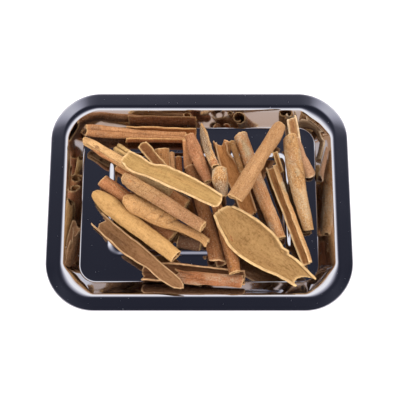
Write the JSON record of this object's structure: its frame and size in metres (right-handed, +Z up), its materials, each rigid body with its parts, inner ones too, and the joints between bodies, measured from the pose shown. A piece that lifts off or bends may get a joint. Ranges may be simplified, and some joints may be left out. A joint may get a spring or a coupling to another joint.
{
  "type": "stack of cinnamon sticks",
  "caption": "Loose heap of curled, split and broken cinnamon bark sticks lying in a shallow rectangular stainless steel tray with rounded corners and a broad flat rim.",
  "frame": {"origin": "on the surface the tray stands on, under the middle of the tray", "axes": "+X along the tray's longer side, +Y along its shorter side towards the back, +Z up"},
  "size_m": [0.27, 0.202, 0.05],
  "materials": {
    "tray_steel": "polished",
    "bark_golden": "matte",
    "bark_tan": "matte",
    "bark_red": "matte",
    "bark_brown": "matte",
    "bark_grey": "matte"
  },
  "bodies": {
    "root": {"tray": "tray_steel", "holding_gutter": "bark_red", "nested_stick": "bark_red", "front_gutter": "bark_brown", "front_slab": "bark_red", "corner_gutter": "bark_tan", "side_curl": "bark_tan", "back_stick": "bark_tan", "stub_left": "bark_tan", "stub_right": "bark_tan", "flat_piece": "bark_tan", "middle_stick": "bark_tan", "front_stick": "bark_tan", "hidden_quill": "bark_grey", "under_stick": "bark_tan", "slit_tip": "bark_golden", "left_quill": "bark_golden", "crumpled_gutter": "bark_brown", "centre_stick": "bark_tan", "thin_curl": "bark_tan", "right_quill": "bark_tan", "open_gutter": "bark_golden", "brown_plate": "bark_brown", "back_quill": "bark_red", "thin_roll": "bark_tan", "grey_stick": "bark_grey", "short_piece": "bark_grey", "torn_gutter": "bark_brown", "lip_quill": "bark_red", "yellow_quill": "bark_golden", "crumpled_piece": "bark_tan", "broad_scoop": "bark_golden", "middle_quill": "bark_tan", "long_gutter": "bark_golden", "diagonal_quill": "bark_tan"}
  },
  "joints": []
}
